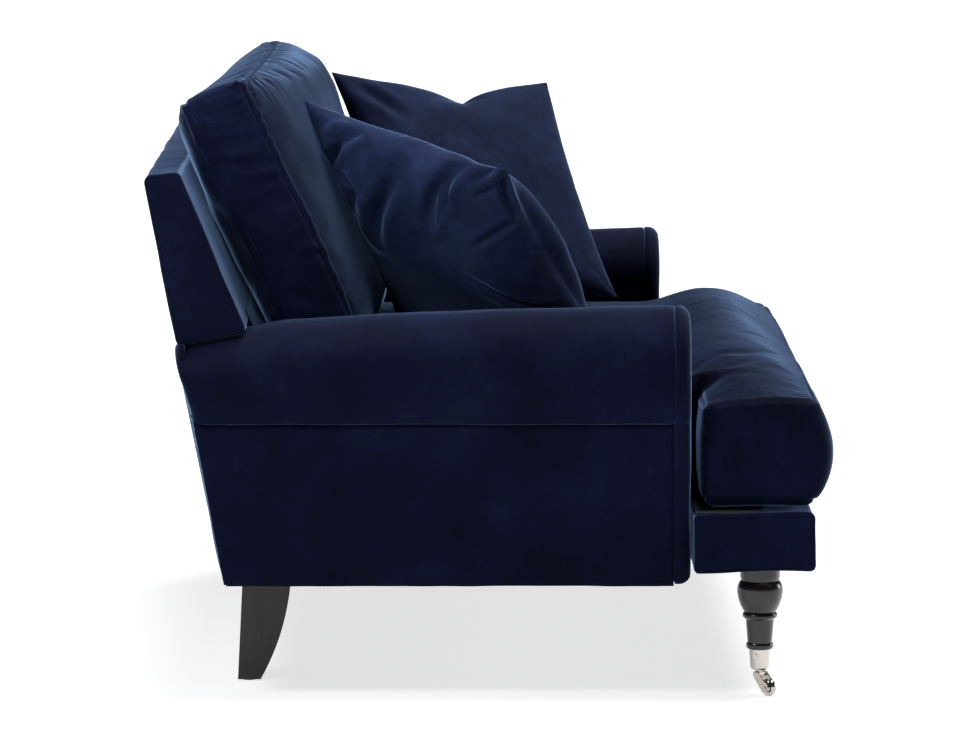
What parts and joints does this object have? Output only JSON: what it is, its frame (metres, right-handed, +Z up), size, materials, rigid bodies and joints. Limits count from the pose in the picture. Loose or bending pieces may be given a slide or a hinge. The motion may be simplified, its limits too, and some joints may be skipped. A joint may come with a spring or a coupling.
{
  "type": "sofa",
  "caption": "Compact velvet sofa with low rolled arms, a T-shaped loose seat cushion, a loose back cushion, scatter cushions, turned front legs on castors and sabre rear legs.",
  "frame": {"origin": "centre of the footprint of the whole sofa, on the floor", "axes": "+X across the sofa towards the sitter's left arm, -Y towards the front of the seat, +Z up"},
  "size_m": [1.3008, 0.97, 0.8999],
  "materials": {
    "timber": "matte",
    "steel": "satin",
    "clip_steel": "satin",
    "webbing": "matte",
    "foam": "matte",
    "velvet": "matte",
    "lining": "matte",
    "cushion_velvet": "matte",
    "scatter_velvet": "matte",
    "filling": "matte",
    "zip_tape": "matte",
    "nickel": "polished",
    "turned_wood": "gloss",
    "leg_wood": "satin",
    "glide_plastic": "matte"
  },
  "bodies": {
    "frame": {"base_front_rail": "timber", "base_cross_rails": "timber", "base_side_rails": "timber", "base_stretchers": "timber", "leg_blocks": "timber", "arm_posts_left": "timber", "arm_posts_right": "timber", "arm_top_rail_left": "timber", "arm_top_rail_right": "timber", "back_stile_left": "timber", "back_stile_right": "timber", "back_top_rail": "timber", "back_bottom_rail": "timber", "back_wing_rails": "timber", "back_bolts": "steel", "seat_springs": "steel", "leg_bolts": "steel", "spring_clips": "clip_steel", "back_webbing": "webbing", "arm_padding_left": "foam", "arm_padding_right": "foam", "back_padding": "foam", "border_padding": "foam", "arm_cover_left": "velvet", "arm_cover_right": "velvet", "arm_facing_left": "velvet", "arm_facing_right": "velvet", "side_panel_left": "velvet", "side_panel_right": "velvet", "back_cover": "velvet", "rear_cover": "velvet", "border_cover": "velvet", "seat_deck": "lining", "dust_cover": "lining", "castor_cup_left": "nickel", "castor_cup_right": "nickel", "castor_screws": "nickel", "front_leg_left": "turned_wood", "front_leg_right": "turned_wood", "rear_leg_left": "leg_wood", "rear_leg_right": "leg_wood", "rear_leg_glides": "glide_plastic"},
    "seat_cushion": {"seat_cushion_cover": "cushion_velvet", "seat_cushion_core": "filling", "seat_cushion_zip": "zip_tape"},
    "zip_slider": {"zip_slider": "nickel"},
    "back_cushion": {"back_cushion_cover": "cushion_velvet", "back_cushion_core": "filling"},
    "scatter_left": {"scatter_cover_left": "scatter_velvet", "scatter_pad_left": "filling"},
    "scatter_right": {"scatter_cover_right": "scatter_velvet", "scatter_pad_right": "filling"},
    "castor_swivel_left": {"castor_fork_left": "nickel", "castor_axle_left": "nickel"},
    "castor_swivel_right": {"castor_fork_right": "nickel", "castor_axle_right": "nickel"},
    "castor_wheel_left": {"castor_wheel_left": "nickel"},
    "castor_wheel_right": {"castor_wheel_right": "nickel"}
  },
  "joints": [
    {"name": "seat_cushion_lift", "type": "slide", "parent": "frame", "child": "seat_cushion", "axis": [0, 0, 1], "range_m": [0, 0.35]},
    {"name": "zip_slide", "type": "slide", "parent": "seat_cushion", "child": "zip_slider", "axis": [1, 0, 0], "range_m": [0, 0.86]},
    {"name": "back_cushion_lift", "type": "slide", "parent": "seat_cushion", "child": "back_cushion", "axis": [0, 0.4067, 0.9135], "range_m": [0, 0.4]},
    {"name": "scatter_left_lift", "type": "slide", "parent": "seat_cushion", "child": "scatter_left", "axis": [0, 0, 1], "range_m": [0, 0.35]},
    {"name": "scatter_right_lift", "type": "slide", "parent": "seat_cushion", "child": "scatter_right", "axis": [0, 0, 1], "range_m": [0, 0.35]},
    {"name": "castor_swivel_left", "type": "hinge", "parent": "frame", "child": "castor_swivel_left", "pos_m": [-0.578, -0.3865, 0.032], "axis": [0, 0, 1], "continuous": true},
    {"name": "castor_roll_left", "type": "hinge", "parent": "castor_swivel_left", "child": "castor_wheel_left", "pos_m": [-0.5885, -0.39858, 0.0125], "axis": [0.7547, -0.6561, 0], "continuous": true},
    {"name": "castor_swivel_right", "type": "hinge", "parent": "frame", "child": "castor_swivel_right", "pos_m": [0.578, -0.3865, 0.032], "axis": [0, 0, 1], "continuous": true},
    {"name": "castor_roll_right", "type": "hinge", "parent": "castor_swivel_right", "child": "castor_wheel_right", "pos_m": [0.58476, -0.401, 0.0125], "axis": [0.9063, 0.4226, 0], "continuous": true}
  ]
}
